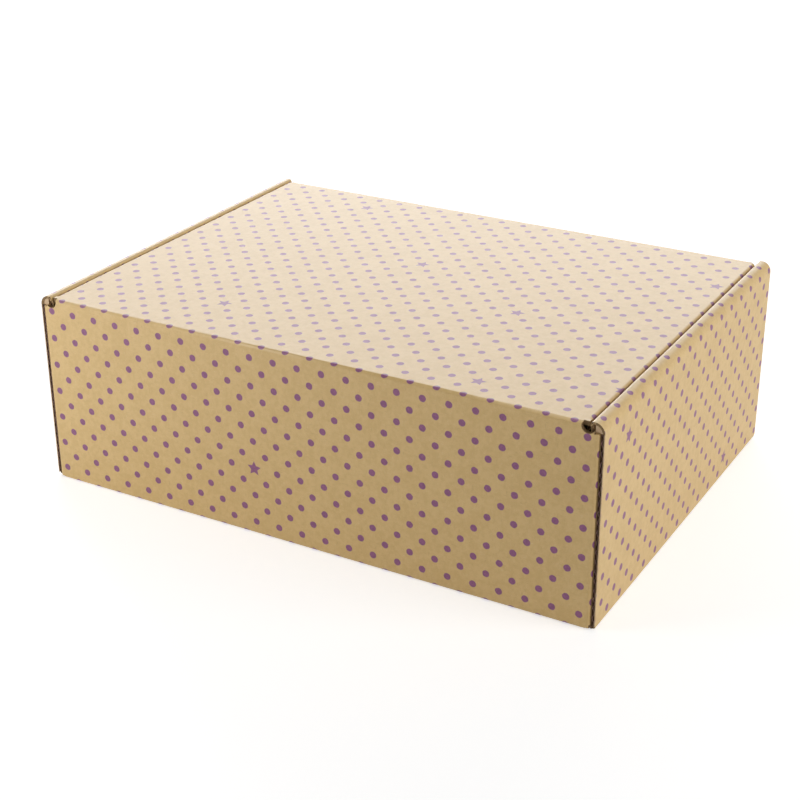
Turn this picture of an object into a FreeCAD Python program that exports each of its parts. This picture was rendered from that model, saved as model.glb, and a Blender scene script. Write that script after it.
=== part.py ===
import FreeCAD, Part
import math
import os
from FreeCAD import Vector

# Corrugated mailer box, folded from one die-cut sheet and shown closed. Millimetres.
# X runs along the hinge crease, the hinge side faces -Y, Z is up.
# The origin is under the middle of the floor panel.
# The tray is the sheet up to the hinge crease, the lid is the sheet beyond it.

# Outside of the closed box
box_length = 210.0
box_depth = 153.0
box_height = 70.0

# Board and its folds. The board is pressed thin where it rolls over a side rim.
board = 1.5
liner = 0.3
flute_depth = 0.9
crease_inner = 0.15
crease_press = 0.55
rim_board = 0.8
rim_flat = 0.1
ply_gap = 0.1

# Lid
lid_drop = 0.4
lid_play = 0.5
crease_play = 0.1
swing_play = 0.5
tuck_depth = 32.0
tuck_taper = 7.0
tuck_round = 10.0
side_flap_depth = 42.0
side_flap_start = 3.2
side_flap_back_taper = 3.0
side_flap_front_taper = 14.0
side_flap_round = 12.0

# Corner flaps that stand between the side plies
corner_flap_length = 62.0
corner_flap_taper = 4.0
corner_flap_round = 5.0
corner_foot = 0.6

# Ends of the side walls, and the round reliefs at the corners
side_inset = 0.8
relief_radius = 2.3
relief_drop = 1.0
foot_relief_radius = 1.6
foot_relief_height = 1.2

# Lock tabs of the inner side walls, and their slots in the floor
tab_length = 24.0
tab_spacing = 78.0
tab_taper = 1.5
tab_recess = 0.2
slot_play = 0.25
slot_end_play = 0.6

# Faces that follow from the sizes above
fold_reach = board + crease_inner
crease_outer = fold_reach - crease_press
half_length = box_length / 2
half_depth = box_depth / 2
side_half = half_depth - side_inset
inner_half = half_depth - board - ply_gap
flap_face = half_length - board - ply_gap
wall_half = flap_face - fold_reach
ply_outer = flap_face - board - ply_gap
ply_inner = ply_outer - board
rim_round = half_length - ply_inner - crease_outer - rim_flat
above_floor = board + ply_gap
under_rim = box_height - board - ply_gap
flap_top = box_height - rim_round
lid_top = box_height - lid_drop
lid_half = ply_inner - lid_play
lid_front = half_depth - board - lid_play
panel_half = lid_half - fold_reach
panel_front = lid_front - fold_reach
crease_foot = lid_top - fold_reach
far = box_length + box_depth + box_height
no_length = 1e-6

# The hinge line lies on the outside of the crease, in the middle of its bend
crease_sag = crease_outer * (1 - math.sqrt(0.5))
hinge_y = -half_depth + crease_sag
hinge_z = lid_top - crease_sag

# The tuck flap leans inwards, so that its edge swings past the front wall
swing_radius = half_depth - board - swing_play - hinge_y
tuck_drop = tuck_depth - crease_sag
tuck_tip_y = hinge_y + math.sqrt(swing_radius ** 2 - tuck_drop ** 2)


def end_view(u, v):
    """Plane seen along the length: u is -Y, v is Z."""
    return Vector(0, -u, v)


def front_view(u, v):
    """Plane seen along the depth: u is X, v is Z."""
    return Vector(u, 0, v)


def top_view(u, v):
    """Plane seen from above: u is X, v is Y."""
    return Vector(u, v, 0)


def rounded_path(corners, place, depth=0.0):
    """Edges and both ends of the path that runs a depth to the left of (u, v, radius) corners.

    A bend of the sheet keeps crease_inner on its inside, however tight its outside is.
    """
    points = [Vector(u, v, 0) for u, v, radius in corners]
    legs = [(after - before).normalize() for before, after in zip(points, points[1:])]
    lefts = [Vector(-leg.y, leg.x, 0) for leg in legs]
    start = points[0] + lefts[0] * depth
    end = points[-1] + lefts[-1] * depth
    spans = []
    last = start
    for index in range(1, len(points) - 1):
        before, after = legs[index - 1], legs[index]
        both = lefts[index - 1] + lefts[index]
        corner = points[index] + both * (2 * depth / both.Length ** 2)
        side = math.copysign(1, before.cross(after).z)
        radius = corners[index][2] - side * depth
        if depth > 0:
            radius = max(radius, crease_inner)
        reach = radius * math.tan(before.getAngle(after) / 2)
        bend_start = corner - before * reach
        centre = bend_start + lefts[index - 1] * side * radius
        bend_middle = centre - both.normalize() * side * radius
        bend_end = corner + after * reach
        spans += [(last, bend_start), (bend_start, bend_middle, bend_end)]
        last = bend_end
    spans.append((last, end))
    edges = []
    for span in spans:
        if span[0].distanceToPoint(span[-1]) > no_length:
            placed = [place(point.x, point.y) for point in span]
            edges.append(Part.makeLine(*placed) if len(placed) == 2 else Part.Arc(*placed).toShape())
    return edges, place(start.x, start.y), place(end.x, end.y)


def folded(corners, place, low, high, direction, near=0.0, deep=board):
    """Sheet along (u, v) corners, or (u, v, radius), with its plies to their left, from low to high."""
    bends = [corner if len(corner) == 3 else (*corner, crease_outer) for corner in corners]
    outer, outer_start, outer_end = rounded_path(bends, place, near)
    inner, inner_start, inner_end = rounded_path(bends, place, deep)
    caps = [Part.makeLine(outer_start, inner_start), Part.makeLine(outer_end, inner_end)]
    face = Part.Face(Part.Wire(Part.__sortEdges__(outer + inner + caps)))
    face.translate(direction * low)
    return face.extrude(direction * (high - low))


def outline(corners, place, low, high, direction):
    """Prism over a closed outline of (u, v, radius) corners."""
    (u_first, v_first, _), (u_last, v_last, _) = corners[0], corners[-1]
    middle = ((u_first + u_last) / 2, (v_first + v_last) / 2, 0)
    edges, _, _ = rounded_path([middle] + corners + [middle], place)
    face = Part.Face(Part.Wire(Part.__sortEdges__(edges)))
    face.translate(direction * low)
    return face.extrude(direction * (high - low))


def block(x_low, x_high, y_low, y_high, z_low, z_high):
    """Box between pairs of planes."""
    corner = Vector(x_low, y_low, z_low)
    return Part.makeBox(x_high - x_low, y_high - y_low, z_high - z_low, corner)


def both_ways(shape, normal):
    """The shape and its mirror image."""
    return [shape, shape.mirror(Vector(0, 0, 0), normal)]


X = Vector(1, 0, 0)
Y = Vector(0, 1, 0)
Z = Vector(0, 0, 1)


def floor_panel():
    """Flat floor with two slots beside each side wall."""
    x_fold = half_length - fold_reach
    y_fold = half_depth - fold_reach
    panel = block(-x_fold, x_fold, -y_fold, y_fold, 0, board)
    slot_half = tab_length / 2 + slot_end_play
    for y_tab in (-tab_spacing / 2, tab_spacing / 2):
        slot = block(ply_inner - slot_play, ply_outer + slot_play,
                     y_tab - slot_half, y_tab + slot_half, -far, far)
        panel = panel.cut(both_ways(slot, X))
    return panel


def side_wall():
    """Right side: outer ply, rolled rim and inner ply with its two lock tabs."""
    turns = [(half_length - fold_reach, 0), (half_length, 0), (half_length, box_height, rim_round),
             (ply_inner, box_height), (ply_inner, above_floor)]
    wall = folded(turns, front_view, -side_half, side_half, Y)
    rim = [(half_length, flap_top), turns[2], turns[3], (ply_inner, flap_top)]
    wall = wall.cut(folded(rim, front_view, -far, far, Y, rim_board, board))
    play = ply_gap / 2
    notch = block(ply_inner - play, ply_outer + play, inner_half, far, 0, under_rim)
    wall = wall.cut(both_ways(notch, Y))
    for y_tab in (-tab_spacing / 2, tab_spacing / 2):
        root = tab_length / 2
        tip = root - tab_taper
        tab = [(-y_tab - tip, tab_recess, 0), (-y_tab + tip, tab_recess, 0),
               (-y_tab + root, above_floor, 0), (-y_tab - root, above_floor, 0)]
        wall = wall.fuse(outline(tab, end_view, ply_inner, ply_outer, X))
    foot = Part.makeCylinder(foot_relief_radius, foot_relief_height,
                             Vector(half_length - board / 2, half_depth, 0), Z)
    wall = wall.cut(both_ways(foot, Y))
    return wall.cut(flute_grooves())


def flute_grooves():
    """Hollow between the liners at both raw ends of the right side wall."""
    turns = [(half_length, 0), (half_length, flap_top)]
    groove = folded(turns, front_view, side_half - flute_depth, far, Y, liner, board - liner)
    return both_ways(groove, Y)


def upright_wall(top, reach=wall_half):
    """Wall on the back edge of the floor, with the fold between them."""
    turns = [(half_depth - fold_reach, 0), (half_depth, 0), (half_depth, top)]
    return folded(turns, end_view, -reach, reach, X)


def corner_flap():
    """Flap that turns from the right end of the back wall in between the side plies."""
    tip_y = -half_depth + corner_flap_length
    turns = [(wall_half, -half_depth), (flap_face, -half_depth), (flap_face, tip_y)]
    flap = folded(turns, top_view, above_floor, flap_top, Z)
    shape = [(half_depth, above_floor, 0), (half_depth, flap_top, 0),
             (-tip_y, flap_top - corner_flap_taper, corner_flap_round),
             (-tip_y, above_floor + corner_flap_taper, corner_flap_round)]
    flap = flap.common(outline(shape, end_view, 0, far, X))
    foot = folded(turns, top_view, corner_foot, above_floor, Z)
    foot = foot.common(upright_wall(under_rim, flap_face))
    return flap.fuse(foot.common(block(0, far, -half_depth, board - half_depth, 0, far)))


def corner_reliefs():
    """Round holes through the back wall, where its top crease, the lid's ends and the rims meet."""
    centre = Vector((ply_inner + lid_half) / 2, -half_depth - board, lid_top - relief_drop)
    holes = both_ways(Part.makeCylinder(relief_radius, 2 * board, centre, Y), X)
    return Part.makeCompound(holes)


def lid_room(sign):
    """Space on the lid's side (1) or the tray's side (-1) of the cut through the hinge crease."""
    room = block(-far, far, -far, far, crease_play, far)
    if sign < 0:
        room.rotate(Vector(0, 0, 0), X, 180)
    room.rotate(Vector(0, 0, 0), X, -45)
    room.translate(Vector(0, hinge_y, hinge_z))
    return room


def hinge_strip():
    """Sheet from the top of the back wall over the hinge crease and the lid down the tuck flap."""
    turns = [(half_depth, crease_foot), (half_depth, lid_top), (-lid_front, lid_top),
             (-tuck_tip_y, lid_top - tuck_depth)]
    strip = folded(turns, end_view, -lid_half, lid_half, X)
    return strip.cut(corner_reliefs())


def tray_shape():
    """The folded sheet up to the hinge crease."""
    flaps = both_ways(corner_flap(), X)
    front_flaps = [flap.mirror(Vector(0, 0, 0), Y) for flap in flaps]
    back_wall = upright_wall(crease_foot).cut(corner_reliefs())
    front_wall = upright_wall(under_rim).cut(corner_reliefs()).mirror(Vector(0, 0, 0), Y)
    crease = hinge_strip().common(lid_room(-1))
    pieces = flaps + front_flaps + both_ways(side_wall(), X) + [back_wall, front_wall, crease]
    return floor_panel().fuse(pieces).removeSplitter()


def side_flap():
    """Right flap of the lid, folded down inside the inner ply."""
    back_y = -half_depth + side_flap_start
    low = lid_top - side_flap_depth
    turns = [(lid_half, low), (lid_half, lid_top), (panel_half, lid_top)]
    flap = folded(turns, front_view, back_y, panel_front, Y)
    shape = [(-back_y, lid_top, 0), (-panel_front, lid_top, 0),
             (-panel_front, crease_foot, 0),
             (-panel_front + side_flap_front_taper, low, side_flap_round),
             (-back_y - side_flap_back_taper, low, side_flap_round),
             (-back_y, crease_foot, 0)]
    return flap.common(outline(shape, end_view, 0, far, X))


def tuck_shape():
    """Lid panel and tuck flap seen from the front, with the corners that the side folds need."""
    back_y = -half_depth + side_flap_start
    root = panel_half
    tip = root - tuck_taper
    low = lid_top - tuck_depth
    shape = [(-root, lid_top, 0), (-root, crease_foot, 0), (-tip, low, tuck_round),
             (tip, low, tuck_round), (root, crease_foot, 0), (root, lid_top, 0)]
    hinge_band = block(-lid_half, lid_half, -far, back_y, 0, far)
    return outline(shape, front_view, -far, far, Y).fuse(hinge_band)


def lid_shape():
    """The folded sheet beyond the hinge crease."""
    panel = hinge_strip().common(lid_room(1)).common(tuck_shape())
    return panel.fuse(both_ways(side_flap(), X)).removeSplitter()


def export(shape, name):
    """Write one folded sheet and report its state."""
    shape.exportStep("parts/" + name + ".step")
    print(name, "solids", len(shape.Solids), "valid", shape.isValid(), "volume", round(shape.Volume, 1))


os.makedirs("parts", exist_ok=True)
export(tray_shape(), "tray")
export(lid_shape(), "lid")
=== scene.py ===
import math

import bpy
import numpy as np
from mathutils import Matrix, Quaternion, Vector
from mathutils.bvhtree import BVHTree


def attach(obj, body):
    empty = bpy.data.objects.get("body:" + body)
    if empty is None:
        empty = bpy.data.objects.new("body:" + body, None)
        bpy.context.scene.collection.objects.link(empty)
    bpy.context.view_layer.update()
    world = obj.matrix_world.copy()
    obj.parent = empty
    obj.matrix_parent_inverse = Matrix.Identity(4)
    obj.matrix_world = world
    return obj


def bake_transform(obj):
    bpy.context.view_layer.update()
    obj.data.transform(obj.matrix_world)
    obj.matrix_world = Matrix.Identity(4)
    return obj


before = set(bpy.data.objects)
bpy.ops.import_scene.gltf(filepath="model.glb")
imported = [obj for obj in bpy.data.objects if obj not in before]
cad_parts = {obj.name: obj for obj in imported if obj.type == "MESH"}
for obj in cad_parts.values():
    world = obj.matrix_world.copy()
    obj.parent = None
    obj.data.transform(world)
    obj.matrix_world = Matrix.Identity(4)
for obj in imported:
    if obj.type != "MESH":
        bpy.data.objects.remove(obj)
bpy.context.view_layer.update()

# Sizes that the CAD gives this box, in millimetres
MM = 0.001
HALF_LENGTH = 105.0
HALF_DEPTH = 76.5
BOX_HEIGHT = 70.0
BOARD = 1.5
LINER = 0.3
CREASE_INNER = 0.15
CREASE_OUTER = 1.1
FOLD_REACH = BOARD + CREASE_INNER
RIM_BOARD = 0.8
RIM_ROUND = 3.5
FLAP_TOP = BOX_HEIGHT - RIM_ROUND
LID_TOP = 69.6
LID_HALF = 99.8
PLY_INNER = 100.3
PLY_OUTER = 101.8
PLY_MIDDLE = (PLY_INNER + PLY_OUTER) / 2
FLAP_FACE = 103.4
WALL_HALF = FLAP_FACE - FOLD_REACH
PANEL_HALF = LID_HALF - FOLD_REACH
SIDE_HALF = 75.7
TUCK_MIDDLE = 70.43
FLUTE_PITCH = 3.3
FLUTE_DEPTH = 0.9
RELIEF_RADIUS = 2.3
RELIEF_DROP = 1.0
RELIEF_X = (PLY_INNER + LID_HALF) / 2
RELIEF_Z = LID_TOP - RELIEF_DROP
FOOT_RELIEF = 1.2

# Small margins, and limits that tell the faces of the sheet apart, in millimetres
SLIVER = 0.02
CLOSE = 0.05
MARGIN = 0.1
PAST_FLAP = 0.2
ROLL_FOOT = 68.15
RIM_FOOT = 60.0
BACK_FOOT = 5.0
CORNER_FOOT = 2.0
LID_FRONT = 60.0
LID_UNDERSIDE = 68.0
THICKEST = BOARD + 0.15
WIDEST_EDGE = BOARD + 0.2
THICKEST_LINER = 0.45
HOLLOW_PLAY = 0.08

# Least share of a unit normal along an axis, for a face that looks along it, leans or just turns that way
FACING = 0.9
LEANING = 0.6
TURNED = 0.1

# The print: rows of dots on a centred lattice, with a few stars in place of dots
PITCH_U = 9.08
PITCH_V = 10.05
SIDE_PITCH_U = 9.15
ROW_AT_HINGE = 3.45
SIDE_ROW_AT_NEAR_EDGE = -6.4
SIDE_ROW_AT_TOP = 102.77
DOT_RADIUS = 1.22
DOT_SOFTNESS = 0.14
DOT_WOBBLE = 0.32
STAR_RADIUS = 2.7
STAR_WAIST = 0.5
STAR_SOFTNESS = 0.12
SAME_POINT = 0.1
STARS = [(-2, -1), (-5, 6), (-0.5, 12.5), (5, 10), (6.5, 4.5), (10.5, 15.5), (-6, 17), (11, 6),
         (101.5, -4.5), (96, 5), (8, -12), (-6.5, -17.5), (3.5, -20.5), (-9, -9)]

# Gloss and relief of the paper
PRINTED_GLOSS = 0.85
INK_GLOSS_LOSS = 0.21
PRINTED_ROUGHNESS = 0.52
PLAIN_GLOSS = 0.8
PLAIN_ROUGHNESS = 0.72
GRAIN_HEIGHT = 0.05
FLUTE_HEIGHT = 0.012

# The hinge crease's arcs: first and last angle in degrees, and number of points
SKIN_ARC = (10, 80, 19)
LINER_ARC = (0, 90, 9)

# The camera and the studio, in metres, degrees and watts
CAMERA_AZIMUTH = 29.62
CAMERA_ELEVATION = 25.25
CAMERA_ROLL = -0.271
CAMERA_PLACE = (0.26093, -0.4693, 0.27587)
CAMERA_SENSOR = 36
CAMERA_LENS = 73.33
FLOOR_SIZE = 8
FLOOR_DROP = 0.0001
FLOOR_DARK = (0.78, 0.78, 0.78, 1)
FLOOR_LIGHT = (0.82, 0.82, 0.82, 1)
FLOOR_GLOW = 0.54
WORLD_LIGHT = 0.25
LAMP_TARGET = Vector((0, 0, 0.035))
NEUTRAL = (1.0, 1.0, 1.0)
COOL = (0.97, 1.0, 1.07)
LAMPS = (("key_left", (-0.3, -0.32, 0.14), (0.2, 0.2), 0.69, NEUTRAL),
         ("fill_right", (1.15, 0.1, 0.5), (0.8, 0.8), 7.8, NEUTRAL),
         ("back_soft", (-0.6, 1.06, 0.42), (1.5, 0.5), 13.8, COOL))


def srgb(red, green, blue):
    """Linear colour from 8-bit display values."""
    values = []
    for value in (red, green, blue):
        c = value / 255
        values.append(c / 12.92 if c <= 0.04045 else ((c + 0.055) / 1.055) ** 2.4)
    return (*values, 1.0)


KRAFT_LIGHT = srgb(218, 184, 120)
KRAFT_DARK = srgb(210, 175, 109)
FLECK_DARK = srgb(150, 116, 70)
FLECK_PALE = srgb(236, 220, 184)
INSIDE_LIGHT = srgb(205, 178, 132)
INSIDE_DARK = srgb(186, 156, 108)
LINER_LIGHT = srgb(214, 186, 148)
LINER_DARK = srgb(190, 156, 116)
# Fluted medium: partly the medium's own browner paper, partly painted shade that darkens the raw ends where
# it shows
SHADED_MEDIUM_LIGHT = srgb(142, 104, 92)
SHADED_MEDIUM_DARK = srgb(104, 72, 62)
INK_LIGHT = srgb(146, 84, 128)
INK_DARK = srgb(124, 68, 110)
# Raw edge: the light colour is the board's own paper; the dark one is partly its own brown and partly
# painted shade of the flute openings
EDGE_LIGHT = srgb(200, 168, 122)
EDGE_DARK_AND_SHADE = srgb(92, 70, 50)
# Painted shade: near-black colours for the insides of the flute hollows, standing in for the shade there
HOLLOW_SHADE_LIGHT = srgb(132, 96, 66)
HOLLOW_SHADE_DARK = srgb(40, 24, 16)


def add(tree, kind, inputs=None, **settings):
    """New node, with settings and with inputs given as sockets or values."""
    node = tree.nodes.new(kind)
    for key, value in settings.items():
        setattr(node, key, value)
    for key, value in (inputs or {}).items():
        if isinstance(value, bpy.types.NodeSocket):
            tree.links.new(value, node.inputs[key])
        else:
            node.inputs[key].default_value = value
    return node


def calc(tree, operation, *values):
    """Output of a Math node."""
    return add(tree, "ShaderNodeMath", dict(enumerate(values)), operation=operation).outputs[0]


def vector_calc(tree, operation, *values):
    """Output of a Vector Math node: a number where the operation gives one."""
    node = add(tree, "ShaderNodeVectorMath", dict(enumerate(values)), operation=operation)
    return node.outputs["Value" if operation in ("DOT_PRODUCT", "LENGTH", "DISTANCE") else "Vector"]


def ramp(tree, value, low, high, first=0.0, last=1.0):
    """Smooth step of a value from one level to another."""
    node = add(tree, "ShaderNodeMapRange", {"Value": value, "From Min": low, "From Max": high,
                                            "To Min": first, "To Max": last})
    node.interpolation_type = "SMOOTHSTEP"
    return node.outputs[0]


def mix_colour(tree, share, a, b):
    """Mix of two colours."""
    return add(tree, "ShaderNodeMix", {0: share, 6: a, 7: b}, data_type="RGBA").outputs[2]


def mix_vector(tree, share, a, b):
    """Mix of two vectors."""
    return add(tree, "ShaderNodeMix", {0: share, 4: a, 5: b}, data_type="VECTOR").outputs[1]


def noise(tree, vector, scale, detail=2.0, roughness=0.5):
    """Value of a noise texture."""
    node = add(tree, "ShaderNodeTexNoise", {"Vector": vector, "Scale": scale, "Detail": detail,
                                            "Roughness": roughness})
    return node.outputs["Fac"]


def new_group(name, inputs, outputs):
    """Empty node group with its sockets."""
    group = bpy.data.node_groups.new(name, "ShaderNodeTree")
    for label, kind in inputs:
        group.interface.new_socket(label, in_out="INPUT", socket_type=kind)
    for label, kind in outputs:
        group.interface.new_socket(label, in_out="OUTPUT", socket_type=kind)
    return group, group.nodes.new("NodeGroupInput"), group.nodes.new("NodeGroupOutput")


def print_group():
    """Share of ink at a place (U, V) of the sheet's lattice: a star at its points in STARS, else a dot."""
    group, start, end = new_group("sheet_print", [("Place", "NodeSocketVector")],
                                  [("Ink", "NodeSocketFloat")])
    place = start.outputs["Place"]
    pitch = (PITCH_U, PITCH_V, 0)
    half = (0.5, 0.5, 0)
    whole = vector_calc(group, "FLOOR", vector_calc(group, "ADD", place, half))
    shifted = vector_calc(group, "ADD", vector_calc(group, "FLOOR", place), half)
    offsets = [vector_calc(group, "MULTIPLY", vector_calc(group, "SUBTRACT", place, point), pitch)
               for point in (whole, shifted)]
    reaches = [vector_calc(group, "LENGTH", offset) for offset in offsets]
    nearer = calc(group, "GREATER_THAN", reaches[0], reaches[1])
    point = mix_vector(group, nearer, whole, shifted)
    offset = mix_vector(group, nearer, offsets[0], offsets[1])
    reach = calc(group, "MINIMUM", *reaches)
    starred = 0.0
    for u, v in STARS:
        here = calc(group, "LESS_THAN", vector_calc(group, "DISTANCE", point, (u, v, 0)), SAME_POINT)
        starred = calc(group, "MAXIMUM", starred, here)
    parts = add(group, "ShaderNodeSeparateXYZ", {0: offset})
    angle = calc(group, "ARCTAN2", parts.outputs[0], parts.outputs[1])
    fifth = math.radians(72)
    within = calc(group, "FLOORED_MODULO", calc(group, "ADD", angle, fifth / 2), fifth)
    turned = calc(group, "ABSOLUTE", calc(group, "SUBTRACT", within, fifth / 2))
    along = calc(group, "MULTIPLY", reach, calc(group, "COSINE", turned))
    across = calc(group, "MULTIPLY", reach, calc(group, "SINE", turned))
    waist = STAR_RADIUS * STAR_WAIST
    edge_along = waist * math.cos(fifth / 2) - STAR_RADIUS
    edge_across = waist * math.sin(fifth / 2)
    size = math.hypot(edge_along, edge_across)
    from_tip = calc(group, "SUBTRACT", along, STAR_RADIUS)
    beyond = calc(group, "ADD", calc(group, "MULTIPLY", from_tip, edge_across / size),
                  calc(group, "MULTIPLY", across, -edge_along / size))
    star = ramp(group, beyond, STAR_SOFTNESS, -STAR_SOFTNESS)
    wobble = calc(group, "SUBTRACT", noise(group, vector_calc(group, "MULTIPLY", place, pitch), 1.1), 0.5)
    loose = calc(group, "ADD", reach, calc(group, "MULTIPLY", wobble, DOT_WOBBLE))
    dot = ramp(group, loose, DOT_RADIUS + DOT_SOFTNESS, DOT_RADIUS - DOT_SOFTNESS)
    ink = calc(group, "ADD", calc(group, "MULTIPLY", star, starred),
               calc(group, "MULTIPLY", dot, calc(group, "SUBTRACT", 1.0, starred)))
    group.links.new(ink, end.inputs["Ink"])
    return group


def kraft_group():
    """Cloudiness and fibres of kraft paper. Cloud and Fibre lie about 0.5, Grain is for bump."""
    group, start, end = new_group("kraft", [("Place", "NodeSocketVector")],
                                  [("Cloud", "NodeSocketFloat"), ("Fibre", "NodeSocketFloat"),
                                   ("Grain", "NodeSocketFloat")])
    place = start.outputs["Place"]
    wide = noise(group, place, 0.12, 2.0, 0.6)
    fine = noise(group, place, 0.55, 3.0, 0.6)
    cloud = calc(group, "ADD", calc(group, "MULTIPLY", wide, 0.4), calc(group, "MULTIPLY", fine, 0.6))
    streaks = []
    for turn, stretch in (((0.0, 0.0, 0.35), (0.5, 5.0, 3.0)), ((0.4, 0.0, -0.5), (4.5, 0.6, 3.5)),
                          ((0.9, 0.5, 0.2), (3.0, 4.0, 0.55))):
        node = add(group, "ShaderNodeMapping", {"Vector": place, "Rotation": turn, "Scale": stretch})
        streaks.append(noise(group, node.outputs[0], 1.0, 1.0))
    fibre = calc(group, "MAXIMUM", calc(group, "MAXIMUM", streaks[0], streaks[1]), streaks[2])
    grain = calc(group, "ADD", calc(group, "MULTIPLY", fine, 0.5), calc(group, "MULTIPLY", fibre, 0.5))
    group.links.new(cloud, end.inputs["Cloud"])
    group.links.new(fibre, end.inputs["Fibre"])
    group.links.new(grain, end.inputs["Grain"])
    return group


PRINT = print_group()
KRAFT = kraft_group()


def new_material(name):
    """Material, its tree and its shader, which is linked to the output."""
    material = bpy.data.materials.new(name)
    material.use_nodes = True
    tree = material.node_tree
    tree.nodes.clear()
    shader = tree.nodes.new("ShaderNodeBsdfPrincipled")
    output = tree.nodes.new("ShaderNodeOutputMaterial")
    tree.links.new(shader.outputs[0], output.inputs["Surface"])
    return material, tree, shader


def millimetres(tree, mirrored=False):
    """Place on the object in millimetres, and the same with its left end laid over the right if mirrored."""
    place = add(tree, "ShaderNodeTexCoord").outputs["Object"]
    place = vector_calc(tree, "SCALE", place)
    place.node.inputs["Scale"].default_value = 1 / MM
    if not mirrored:
        return place, place
    parts = add(tree, "ShaderNodeSeparateXYZ", {0: place})
    folded = add(tree, "ShaderNodeCombineXYZ", {0: calc(tree, "ABSOLUTE", parts.outputs[0]),
                                                1: parts.outputs[1], 2: parts.outputs[2]})
    return place, folded.outputs[0]


def paper(name, light, dark, across=None, along=None, mirrored=False, from_uv=False):
    """Kraft liner. It is printed where across and along, or the sheet's own map, lead to the lattice."""
    material, tree, shader = new_material(name)
    place, folded = millimetres(tree, mirrored)
    kraft = add(tree, "ShaderNodeGroup", node_tree=KRAFT)
    tree.links.new(place, kraft.inputs["Place"])
    colour = mix_colour(tree, ramp(tree, kraft.outputs["Cloud"], 0.38, 0.62), dark, light)
    flecks = ramp(tree, kraft.outputs["Fibre"], 0.66, 0.8, 0.0, 0.22)
    colour = mix_colour(tree, flecks, colour, FLECK_DARK)
    pale = ramp(tree, kraft.outputs["Fibre"], 0.5, 0.4, 0.0, 0.2)
    colour = mix_colour(tree, pale, colour, FLECK_PALE)
    height = calc(tree, "MULTIPLY", kraft.outputs["Grain"], GRAIN_HEIGHT)
    if across is not None or from_uv:
        if from_uv:
            lattice = add(tree, "ShaderNodeUVMap", uv_map="sheet").outputs[0]
        else:
            u = calc(tree, "ADD", vector_calc(tree, "DOT_PRODUCT", folded, across[:3]), across[3])
            v = calc(tree, "ADD", vector_calc(tree, "DOT_PRODUCT", folded, along[:3]), along[3])
            lattice = add(tree, "ShaderNodeCombineXYZ", {0: u, 1: v}).outputs[0]
        marks = add(tree, "ShaderNodeGroup", node_tree=PRINT)
        tree.links.new(lattice, marks.inputs["Place"])
        ink = marks.outputs["Ink"]
        worn = ramp(tree, noise(tree, place, 1.6, 3.0, 0.65), 0.25, 0.75)
        tint = mix_colour(tree, worn, INK_DARK, INK_LIGHT)
        patches = ramp(tree, noise(tree, place, 4.0), 0.1, 0.45, 0.9, 1.0)
        colour = mix_colour(tree, calc(tree, "MULTIPLY", ink, patches), colour, tint)
        columns = add(tree, "ShaderNodeSeparateXYZ", {0: lattice}).outputs[0]
        flute = calc(tree, "SINE", calc(tree, "MULTIPLY", columns, 2 * math.pi * PITCH_U / FLUTE_PITCH))
        height = calc(tree, "ADD", height, calc(tree, "MULTIPLY", flute, FLUTE_HEIGHT))
        gloss = calc(tree, "SUBTRACT", PRINTED_GLOSS, calc(tree, "MULTIPLY", ink, INK_GLOSS_LOSS))
        tree.links.new(gloss, shader.inputs["Specular IOR Level"])
        shader.inputs["Roughness"].default_value = PRINTED_ROUGHNESS
    else:
        shader.inputs["Specular IOR Level"].default_value = PLAIN_GLOSS
        shader.inputs["Roughness"].default_value = PLAIN_ROUGHNESS
    bump = add(tree, "ShaderNodeBump", {"Strength": 0.6, "Distance": MM, "Height": height})
    tree.links.new(colour, shader.inputs["Base Color"])
    tree.links.new(bump.outputs[0], shader.inputs["Normal"])
    shader.inputs["Sheen Weight"].default_value = 0.12
    shader.inputs["Sheen Roughness"].default_value = 0.5
    return material


def cut_edge(name, wave_axis=None, across_axis=0, middle=0.0, mirrored=False,
             light=EDGE_LIGHT, dark=EDGE_DARK_AND_SHADE):
    """Raw edge of the board, mottled between a dark and a light colour, where the dark colour is partly the
    edge's own brown and partly painted shade. With a wave_axis it shows two liners and the fluted medium
    between them, and the openings between them take the dark colour as painted shade.
    """
    material, tree, shader = new_material(name)
    place, folded = millimetres(tree, mirrored)
    grit = noise(tree, place, 3.0, 3.0, 0.7)
    bright = ramp(tree, grit, 0.3, 0.7, 0.15, 0.55)
    if wave_axis is not None:
        parts = add(tree, "ShaderNodeSeparateXYZ", {0: folded}).outputs
        across = calc(tree, "SUBTRACT", parts[across_axis], middle)
        turns = calc(tree, "MULTIPLY", parts[wave_axis], 2 * math.pi / FLUTE_PITCH)
        wave = calc(tree, "MULTIPLY", calc(tree, "SINE", turns), 0.4)
        medium = ramp(tree, calc(tree, "ABSOLUTE", calc(tree, "SUBTRACT", across, wave)), 0.24, 0.1)
        liners = ramp(tree, calc(tree, "ABSOLUTE", across), 0.4, 0.52)
        # Where neither medium nor liner lies, the flute openings get the dark colour: painted shade
        solid = calc(tree, "MAXIMUM", medium, liners)
        bright = calc(tree, "MULTIPLY", solid, ramp(tree, grit, 0.2, 0.8, 0.55, 1.0))
    colour = mix_colour(tree, bright, dark, light)
    bump = add(tree, "ShaderNodeBump", {"Strength": 0.7, "Distance": 0.1 * MM, "Height": bright})
    tree.links.new(colour, shader.inputs["Base Color"])
    tree.links.new(bump.outputs[0], shader.inputs["Normal"])
    shader.inputs["Roughness"].default_value = 0.9
    shader.inputs["Specular IOR Level"].default_value = 0.2
    return material


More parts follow.
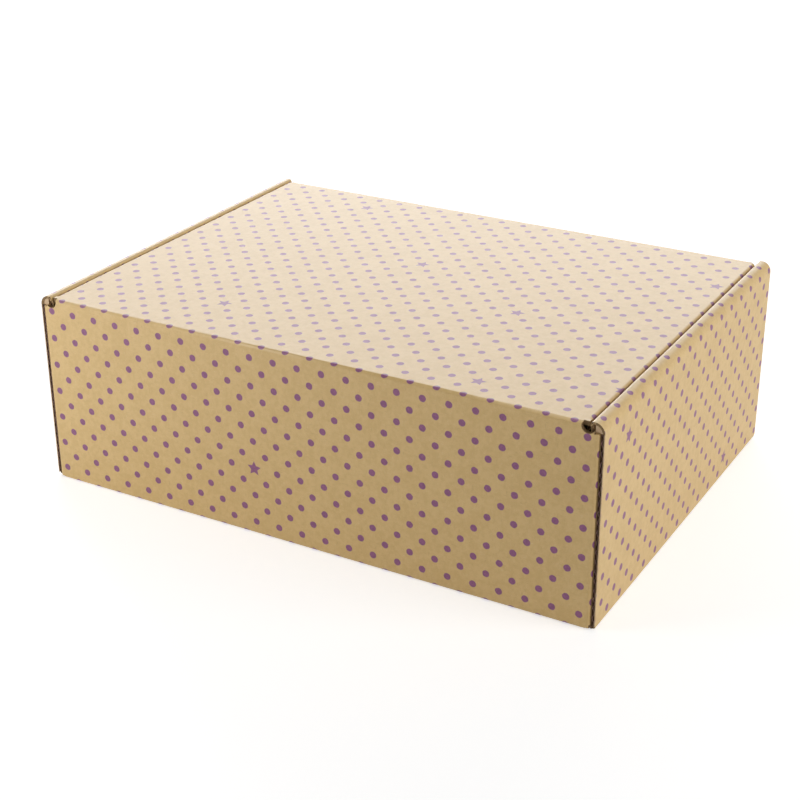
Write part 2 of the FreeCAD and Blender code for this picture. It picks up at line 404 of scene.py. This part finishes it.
# How each part of the sheet maps to the lattice: (x, y, z, offset) for U and for V.
# U counts columns along the box's length, V counts rows up the back wall and over the lid.
FLAT_U = (1 / PITCH_U, 0, 0, 0)
UP_ROW = ROW_AT_HINGE + (HALF_DEPTH - LID_TOP) / PITCH_V
OVER_HINGE = (0, 1 / PITCH_V, 1 / PITCH_V, UP_ROW)
UNDER_BACK = (0, -1 / PITCH_V, 1 / PITCH_V, ROW_AT_HINGE - (LID_TOP + HALF_DEPTH) / PITCH_V)
UP_FRONT = (0, -1 / PITCH_V, -1 / PITCH_V, ROW_AT_HINGE - (LID_TOP + HALF_DEPTH) / PITCH_V)
DOWN_TUCK = (0, 1 / PITCH_V, -1 / PITCH_V, ROW_AT_HINGE + (HALF_DEPTH + LID_TOP) / PITCH_V)
SIDE_ROWS = (0, 1 / PITCH_V, 0, SIDE_ROW_AT_NEAR_EDGE + SIDE_HALF / PITCH_V)
SIDE_U = 1 / SIDE_PITCH_U


def side_columns(x_sign, z_sign, top_sum):
    """Columns of an end wall, where x_sign * |x| + z_sign * z is top_sum at the outer top edge."""
    return (x_sign * SIDE_U, 0, z_sign * SIDE_U, SIDE_ROW_AT_TOP - top_sum * SIDE_U)


PAPERS = {
    "over": paper("print_over_hinge", KRAFT_LIGHT, KRAFT_DARK, FLAT_U, OVER_HINGE),
    "under": paper("print_under", KRAFT_LIGHT, KRAFT_DARK, FLAT_U, UNDER_BACK),
    "front": paper("print_front", KRAFT_LIGHT, KRAFT_DARK, FLAT_U, UP_FRONT),
    "tuck": paper("print_tuck", KRAFT_LIGHT, KRAFT_DARK, FLAT_U, DOWN_TUCK),
    "side": paper("print_side", KRAFT_LIGHT, KRAFT_DARK,
                  side_columns(1, 1, HALF_LENGTH + BOX_HEIGHT), SIDE_ROWS, True),
    "rim": paper("print_rim", KRAFT_LIGHT, KRAFT_DARK,
                 side_columns(-1, 1, BOX_HEIGHT - HALF_LENGTH), SIDE_ROWS, True),
    "inner": paper("print_inner_ply", KRAFT_LIGHT, KRAFT_DARK,
                   side_columns(-1, -1, -HALF_LENGTH - BOX_HEIGHT), SIDE_ROWS, True),
    "corner": paper("print_corner", KRAFT_LIGHT, KRAFT_DARK,
                    (1 / PITCH_U, 1 / PITCH_U, 0, HALF_DEPTH / PITCH_U),
                    (0, 0, 1 / PITCH_V, ROW_AT_HINGE - LID_TOP / PITCH_V), True),
    "flap": paper("print_lid_flap", KRAFT_LIGHT, KRAFT_DARK,
                  (1 / PITCH_U, 0, -1 / PITCH_U, LID_TOP / PITCH_U),
                  (0, 1 / PITCH_V, 0, ROW_AT_HINGE + HALF_DEPTH / PITCH_V), True),
    "plain": paper("kraft_inside", INSIDE_LIGHT, INSIDE_DARK),
    "edge": cut_edge("cut_edge"),
    "edge_sides": cut_edge("cut_edge_inner_ply", 2, 0, PLY_MIDDLE, True),
    "edge_flap": cut_edge("cut_edge_lid_flap", 2, 0, LID_HALF - BOARD / 2, True),
    "edge_wall": cut_edge("cut_edge_front_wall", 0, 1, HALF_DEPTH - BOARD / 2),
    "edge_tuck": cut_edge("cut_edge_tuck", 0, 1, TUCK_MIDDLE),
    "liner": paper("liner_edge", LINER_LIGHT, LINER_DARK),
    "hollow_painted_shade": cut_edge("hollow_painted_shade", light=HOLLOW_SHADE_LIGHT, dark=HOLLOW_SHADE_DARK),
}
CREASE_PAPER = paper("print_crease", KRAFT_LIGHT, KRAFT_DARK, from_uv=True)


def tray_region(c, n):
    """Part of the tray's sheet at a printed face with centre c, in millimetres, and normal n."""
    reach = abs(c.x)
    inner_ply = PLY_INNER - CLOSE < reach < PLY_OUTER + CLOSE and abs(n.x) > FACING
    roll = reach > PLY_INNER - CLOSE and c.z > ROLL_FOOT
    if reach > FLAP_FACE + PAST_FLAP or inner_ply or roll:
        if reach < PLY_INNER + CREASE_OUTER and c.z > FOLD_REACH:
            return "inner"
        return "rim" if c.z > RIM_FOOT else "side"
    if abs(c.y) > HALF_DEPTH - BOARD - MARGIN and reach > WALL_HALF and c.y < 0:
        return "corner"
    if c.y > HALF_DEPTH - FOLD_REACH - MARGIN:
        return "front"
    if c.y < -HALF_DEPTH + FOLD_REACH + MARGIN and c.z > BACK_FOOT:
        return "over"
    return "corner" if reach > WALL_HALF and c.z > CORNER_FOOT else "under"


def lid_region(c, n):
    """Part of the lid's sheet at a printed face."""
    below = c.z < LID_TOP - SLIVER
    if abs(c.x) > PANEL_HALF + CLOSE and (below or abs(n.x) > TURNED):
        return "flap"
    return "tuck" if c.y > LID_FRONT and below else "over"


def edge_region(name, c, n):
    """Kind of raw edge at a face."""
    if name == "lid":
        if abs(c.x) > PANEL_HALF and abs(n.y) > LEANING and c.z < LID_UNDERSIDE:
            return "edge_flap"
        if n.z < -LEANING and c.y > LID_FRONT:
            return "edge_tuck"
        return "edge"
    wall_end = abs(n.y) > FACING and abs(abs(c.y) - SIDE_HALF) < CLOSE
    if wall_end and HALF_LENGTH - abs(c.x) < LINER and c.z < FLAP_TOP:
        return "liner"
    if abs(n.y) > FACING and PLY_INNER < abs(c.x) < PLY_OUTER:
        return "edge_sides"
    if n.z > LEANING and c.y > HALF_DEPTH - BOARD - MARGIN:
        return "edge_wall"
    return "edge"


def reach_inside(tree, start, direction):
    """Distance in millimetres from a point to the next surface, 99 if there is none within 10."""
    hit = tree.ray_cast(start, direction, 10 * MM)[3]
    return 99.0 if hit is None else hit / MM


def is_cut(tree, c, n):
    """Whether the sheet behind a face is only as wide as the board is thick, as at a raw edge."""
    inside = c - n * BOARD / 2 * MM
    across = n.orthogonal().normalized()
    ways = 6
    for _ in range(ways):
        if reach_inside(tree, inside, across) + reach_inside(tree, inside, -across) < WIDEST_EDGE:
            return True
        across = Quaternion(n, math.pi / ways) @ across
    return False


def dress(name):
    """Gives each face of a CAD node the material of its place on the sheet."""
    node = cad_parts[name]
    mesh = node.data
    slots = list(PAPERS)
    mesh.materials.clear()
    for slot in slots:
        mesh.materials.append(PAPERS[slot])
    tree = BVHTree.FromPolygons([v.co for v in mesh.vertices], [p.vertices for p in mesh.polygons])
    middle = Vector((0, 0, BOX_HEIGHT / 2 * MM))
    region = tray_region if name == "tray" else lid_region
    step = 2e-6
    for polygon in mesh.polygons:
        n = polygon.normal
        c = polygon.center
        inward = reach_inside(tree, c - n * step, -n)
        outward = reach_inside(tree, c + n * step, n)
        place = c / MM
        if inward > THICKEST and is_cut(tree, c, n):
            kind = edge_region(name, place, n)
        # Faces inside a flute's hollow get the near-black hollow material, which is painted shade
        elif inward < THICKEST_LINER and abs(outward - FLUTE_DEPTH) < HOLLOW_PLAY:
            kind = "hollow_painted_shade"
        else:
            printed = n.dot(c - middle) > 0
            inner_ply = PLY_INNER - MARGIN < abs(place.x) < PLY_OUTER + CLOSE
            if name == "tray" and inner_ply and abs(n.x) > 0.3 and abs(n.y) < 0.5:
                printed = n.x * place.x < 0
            kind = region(place, n) if printed else "plain"
        polygon.material_index = slots.index(kind)


dress("tray")
dress("lid")


def new_mesh(name, points, faces, material, smooth=True):
    """Mesh object from points in millimetres."""
    mesh = bpy.data.meshes.new(name)
    mesh.from_pydata([(x * MM, y * MM, z * MM) for x, y, z in points], [], faces)
    mesh.materials.append(material)
    for polygon in mesh.polygons:
        polygon.use_smooth = smooth
    mesh.update()
    piece = bpy.data.objects.new(name, mesh)
    bpy.context.scene.collection.objects.link(piece)
    return piece


def strip(name, outer, inner, half_width, material):
    """Closed thin sheet along X between two paths of (y, z), cut to half_width(z) at its ends."""
    points = []
    for path in (outer, inner):
        for y, z in path:
            reach = half_width(z)
            points += [(-reach, y, z), (reach, y, z)]
    count = len(outer)
    back = 2 * count
    last = 2 * (count - 1)
    faces = []
    for i in range(0, last, 2):
        faces.append((i, i + 1, i + 3, i + 2))
        faces.append((back + i, back + i + 2, back + i + 3, back + i + 1))
        faces.append((i, i + 2, back + i + 2, back + i))
        faces.append((i + 1, back + i + 1, back + i + 3, i + 3))
    faces.append((0, back, back + 1, 1))
    faces.append((last, last + 1, back + last + 1, back + last))
    return new_mesh(name, points, faces, material)


def crease_arc(depth, radius, first, last, count):
    """Points (y, z) of the hinge crease's arc, whose middle lies a depth inside both faces of the sheet."""
    points = []
    for angle in np.radians(np.linspace(first, last, count)):
        y = depth - HALF_DEPTH - radius * math.cos(angle)
        z = LID_TOP - depth + radius * math.sin(angle)
        points.append((y, z))
    return points


def with_tails(path):
    """Arc of the crease with short straight ends, down the back wall and along the lid."""
    tail = 0.5
    return [(path[0][0], path[0][1] - tail)] + path + [(path[-1][0] + tail, path[-1][1])]


def crease_reach(z):
    """Half of the crease's length at a height, up to the round reliefs at its ends."""
    rise = RELIEF_RADIUS ** 2 - (z - RELIEF_Z) ** 2
    return min(LID_HALF, RELIEF_X - math.sqrt(max(rise, 0))) - SLIVER


def crease_skins():
    """The liners that carry the hinge crease over the cut between tray and lid."""
    outer = crease_arc(CREASE_OUTER, CREASE_OUTER + 0.014, *SKIN_ARC)
    below = crease_arc(CREASE_OUTER, CREASE_OUTER + 0.004, *SKIN_ARC)
    skin = strip("crease_outside", outer, below, crease_reach, CREASE_PAPER)
    layer = skin.data.uv_layers.new(name="sheet")
    for loop in skin.data.loops:
        x, y, z = skin.data.vertices[loop.vertex_index].co / MM
        layer.data[loop.index].uv = (x / PITCH_U, (y + z) / PITCH_V + UP_ROW)
    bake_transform(skin)
    bend = with_tails(crease_arc(FOLD_REACH, CREASE_INNER - 0.02, *LINER_ARC))
    back = with_tails(crease_arc(FOLD_REACH, CREASE_INNER - 0.008, *LINER_ARC))
    liner = strip("crease_inside", back, bend, crease_reach, PAPERS["plain"])
    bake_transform(liner)


def flute_ribbon(name, side, end, seed):
    """Fluted medium that shows between the liners at a raw end of a side wall."""
    spacing = 0.22
    knots = 12
    swing = 0.34
    half_thickness = 0.075
    rng = np.random.default_rng(seed)
    heights = np.arange(FOOT_RELIEF + MARGIN, FLAP_TOP - CLOSE, spacing)
    path = np.array([(HALF_LENGTH - BOARD / 2, z) for z in heights])
    drift = np.interp(heights, np.linspace(heights[0], heights[-1], knots), rng.normal(0, 0.35, knots))
    wave = swing * np.sin(2 * np.pi * heights / FLUTE_PITCH + drift + seed)
    centre = path + np.outer(wave, (1, 0))
    slope = np.gradient(centre, axis=0)
    slope /= np.linalg.norm(slope, axis=1)[:, None]
    thick = np.stack([slope[:, 1], -slope[:, 0]], 1) * half_thickness
    points = []
    for y in (SIDE_HALF - CLOSE, SIDE_HALF - FLUTE_DEPTH + SLIVER):
        for sign in (1, -1):
            for x, z in centre + sign * thick:
                points.append((side * x, end * y, z))
    count = len(centre)
    a, b, c, d = 0, count, 2 * count, 3 * count
    faces = []
    for i in range(count - 1):
        faces += [(a + i, a + i + 1, b + i + 1, b + i), (c + i, d + i, d + i + 1, c + i + 1),
                  (a + i, c + i, c + i + 1, a + i + 1), (b + i, b + i + 1, d + i + 1, d + i)]
    last = count - 1
    faces += [(a, b, d, c), (a + last, c + last, d + last, b + last)]
    if side * end > 0:
        faces = [face[::-1] for face in faces]
    piece = new_mesh(name, points, faces, FLUTE_PAPER)
    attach(piece, "tray")


def roll_filling(name, side, end):
    """Pressed inside of the rolled rim above the corner flap, seen at a raw end."""
    clear = 0.06
    recess = 0.3
    length = 4.0
    arc_points = 15
    centre_x = HALF_LENGTH - RIM_ROUND
    radius = RIM_ROUND - RIM_BOARD - clear
    left = PLY_OUTER + clear
    first = math.asin(clear / radius)
    last = math.acos((left - centre_x) / radius)
    section = [(left, FLAP_TOP + clear)]
    for angle in np.linspace(first, last, arc_points):
        section.append((centre_x + radius * math.cos(angle), FLAP_TOP + radius * math.sin(angle)))
    count = len(section)
    points = []
    for y in (SIDE_HALF - recess, SIDE_HALF - recess - length):
        points += [(side * x, end * y, z) for x, z in section]
    faces = [tuple(range(count)), tuple(range(2 * count - 1, count - 1, -1))]
    for i in range(count):
        after = (i + 1) % count
        faces.append((i, count + i, count + after, after))
    if side * end > 0:
        faces = [face[::-1] for face in faces]
    piece = new_mesh(name, points, faces, PAPERS["liner"], smooth=False)
    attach(piece, "tray")


# The fluted medium's darkness is partly its own paper and partly painted shade
FLUTE_PAPER = paper("fluted_medium", SHADED_MEDIUM_LIGHT, SHADED_MEDIUM_DARK)
crease_skins()
for number, (side, end) in enumerate(((1, -1), (-1, -1), (1, 1), (-1, 1))):
    flute_ribbon("flutes_%d" % number, side, end, number + 3)
    roll_filling("roll_filling_%d" % number, side, end)


def seen(tree):
    """1 for a ray of the camera and for one that gloss or a clear surface sends on, else 0."""
    rays = add(tree, "ShaderNodeLightPath").outputs
    direct = calc(tree, "MAXIMUM", rays["Is Camera Ray"], rays["Is Glossy Ray"])
    return calc(tree, "MAXIMUM", direct, rays["Is Transmission Ray"])


def make_floor():
    """Plain pale floor that keeps the shadow and is clear from below."""
    bpy.ops.mesh.primitive_plane_add(size=FLOOR_SIZE, location=(0, 0, -FLOOR_DROP))
    floor = bpy.context.object
    floor.name = "floor"
    material, tree, shader = new_material("floor")
    place = add(tree, "ShaderNodeTexCoord").outputs["Object"]
    colour = mix_colour(tree, noise(tree, place, 3.0), FLOOR_DARK, FLOOR_LIGHT)
    tree.links.new(colour, shader.inputs["Base Color"])
    shader.inputs["Roughness"].default_value = 0.9
    shader.inputs["Specular IOR Level"].default_value = 0.0
    strength = calc(tree, "MULTIPLY", seen(tree), FLOOR_GLOW)
    glow = add(tree, "ShaderNodeEmission", {"Color": (1, 1, 1, 1), "Strength": strength})
    both = add(tree, "ShaderNodeAddShader", {0: shader.outputs[0], 1: glow.outputs[0]})
    back = add(tree, "ShaderNodeNewGeometry").outputs["Backfacing"]
    clear = add(tree, "ShaderNodeBsdfTransparent")
    shown = add(tree, "ShaderNodeMixShader", {0: back, 1: both.outputs[0], 2: clear.outputs[0]})
    output = next(node for node in tree.nodes if node.type == "OUTPUT_MATERIAL")
    tree.links.new(shown.outputs[0], output.inputs["Surface"])
    floor.data.materials.append(material)


def make_world():
    """White surroundings where they are seen, and a weak even light from them."""
    world = bpy.data.worlds.new("studio")
    bpy.context.scene.world = world
    world.use_nodes = True
    tree = world.node_tree
    tree.nodes.clear()
    strength = calc(tree, "ADD", calc(tree, "MULTIPLY", seen(tree), 1 - WORLD_LIGHT), WORLD_LIGHT)
    back = add(tree, "ShaderNodeBackground", {"Color": (1, 1, 1, 1), "Strength": strength})
    add(tree, "ShaderNodeOutputWorld", {"Surface": back.outputs[0]})


def make_lamps():
    """Soft lamps, all turned to the middle of the box."""
    for name, place, size, power, tint in LAMPS:
        lamp = bpy.data.lights.new(name, "AREA")
        lamp.shape = "RECTANGLE"
        lamp.size, lamp.size_y = size
        lamp.energy = power
        lamp.color = tint
        holder = bpy.data.objects.new(name, lamp)
        holder.location = place
        holder.rotation_mode = "QUATERNION"
        holder.rotation_quaternion = (LAMP_TARGET - Vector(place)).to_track_quat("-Z", "Y")
        bpy.context.scene.collection.objects.link(holder)


def make_camera():
    """Camera at the photograph's angle."""
    azimuth = math.radians(CAMERA_AZIMUTH)
    elevation = math.radians(CAMERA_ELEVATION)
    roll = math.radians(CAMERA_ROLL)
    back = Vector((math.sin(azimuth) * math.cos(elevation), -math.cos(azimuth) * math.cos(elevation),
                   math.sin(elevation)))
    level = Vector((math.cos(azimuth), math.sin(azimuth), 0))
    upright = back.cross(level)
    right = level * math.cos(roll) + upright * math.sin(roll)
    up = back.cross(right)
    data = bpy.data.cameras.new("camera")
    data.sensor_width = CAMERA_SENSOR
    data.lens = CAMERA_LENS
    data.clip_start = 0.01
    data.clip_end = 50
    holder = bpy.data.objects.new("camera", data)
    place = Matrix((right, up, back)).transposed().to_4x4()
    place.translation = CAMERA_PLACE
    holder.matrix_world = place
    bpy.context.scene.collection.objects.link(holder)
    bpy.context.scene.camera = holder


make_floor()
make_world()
make_lamps()
make_camera()
bpy.context.scene.view_settings.view_transform = "Standard"
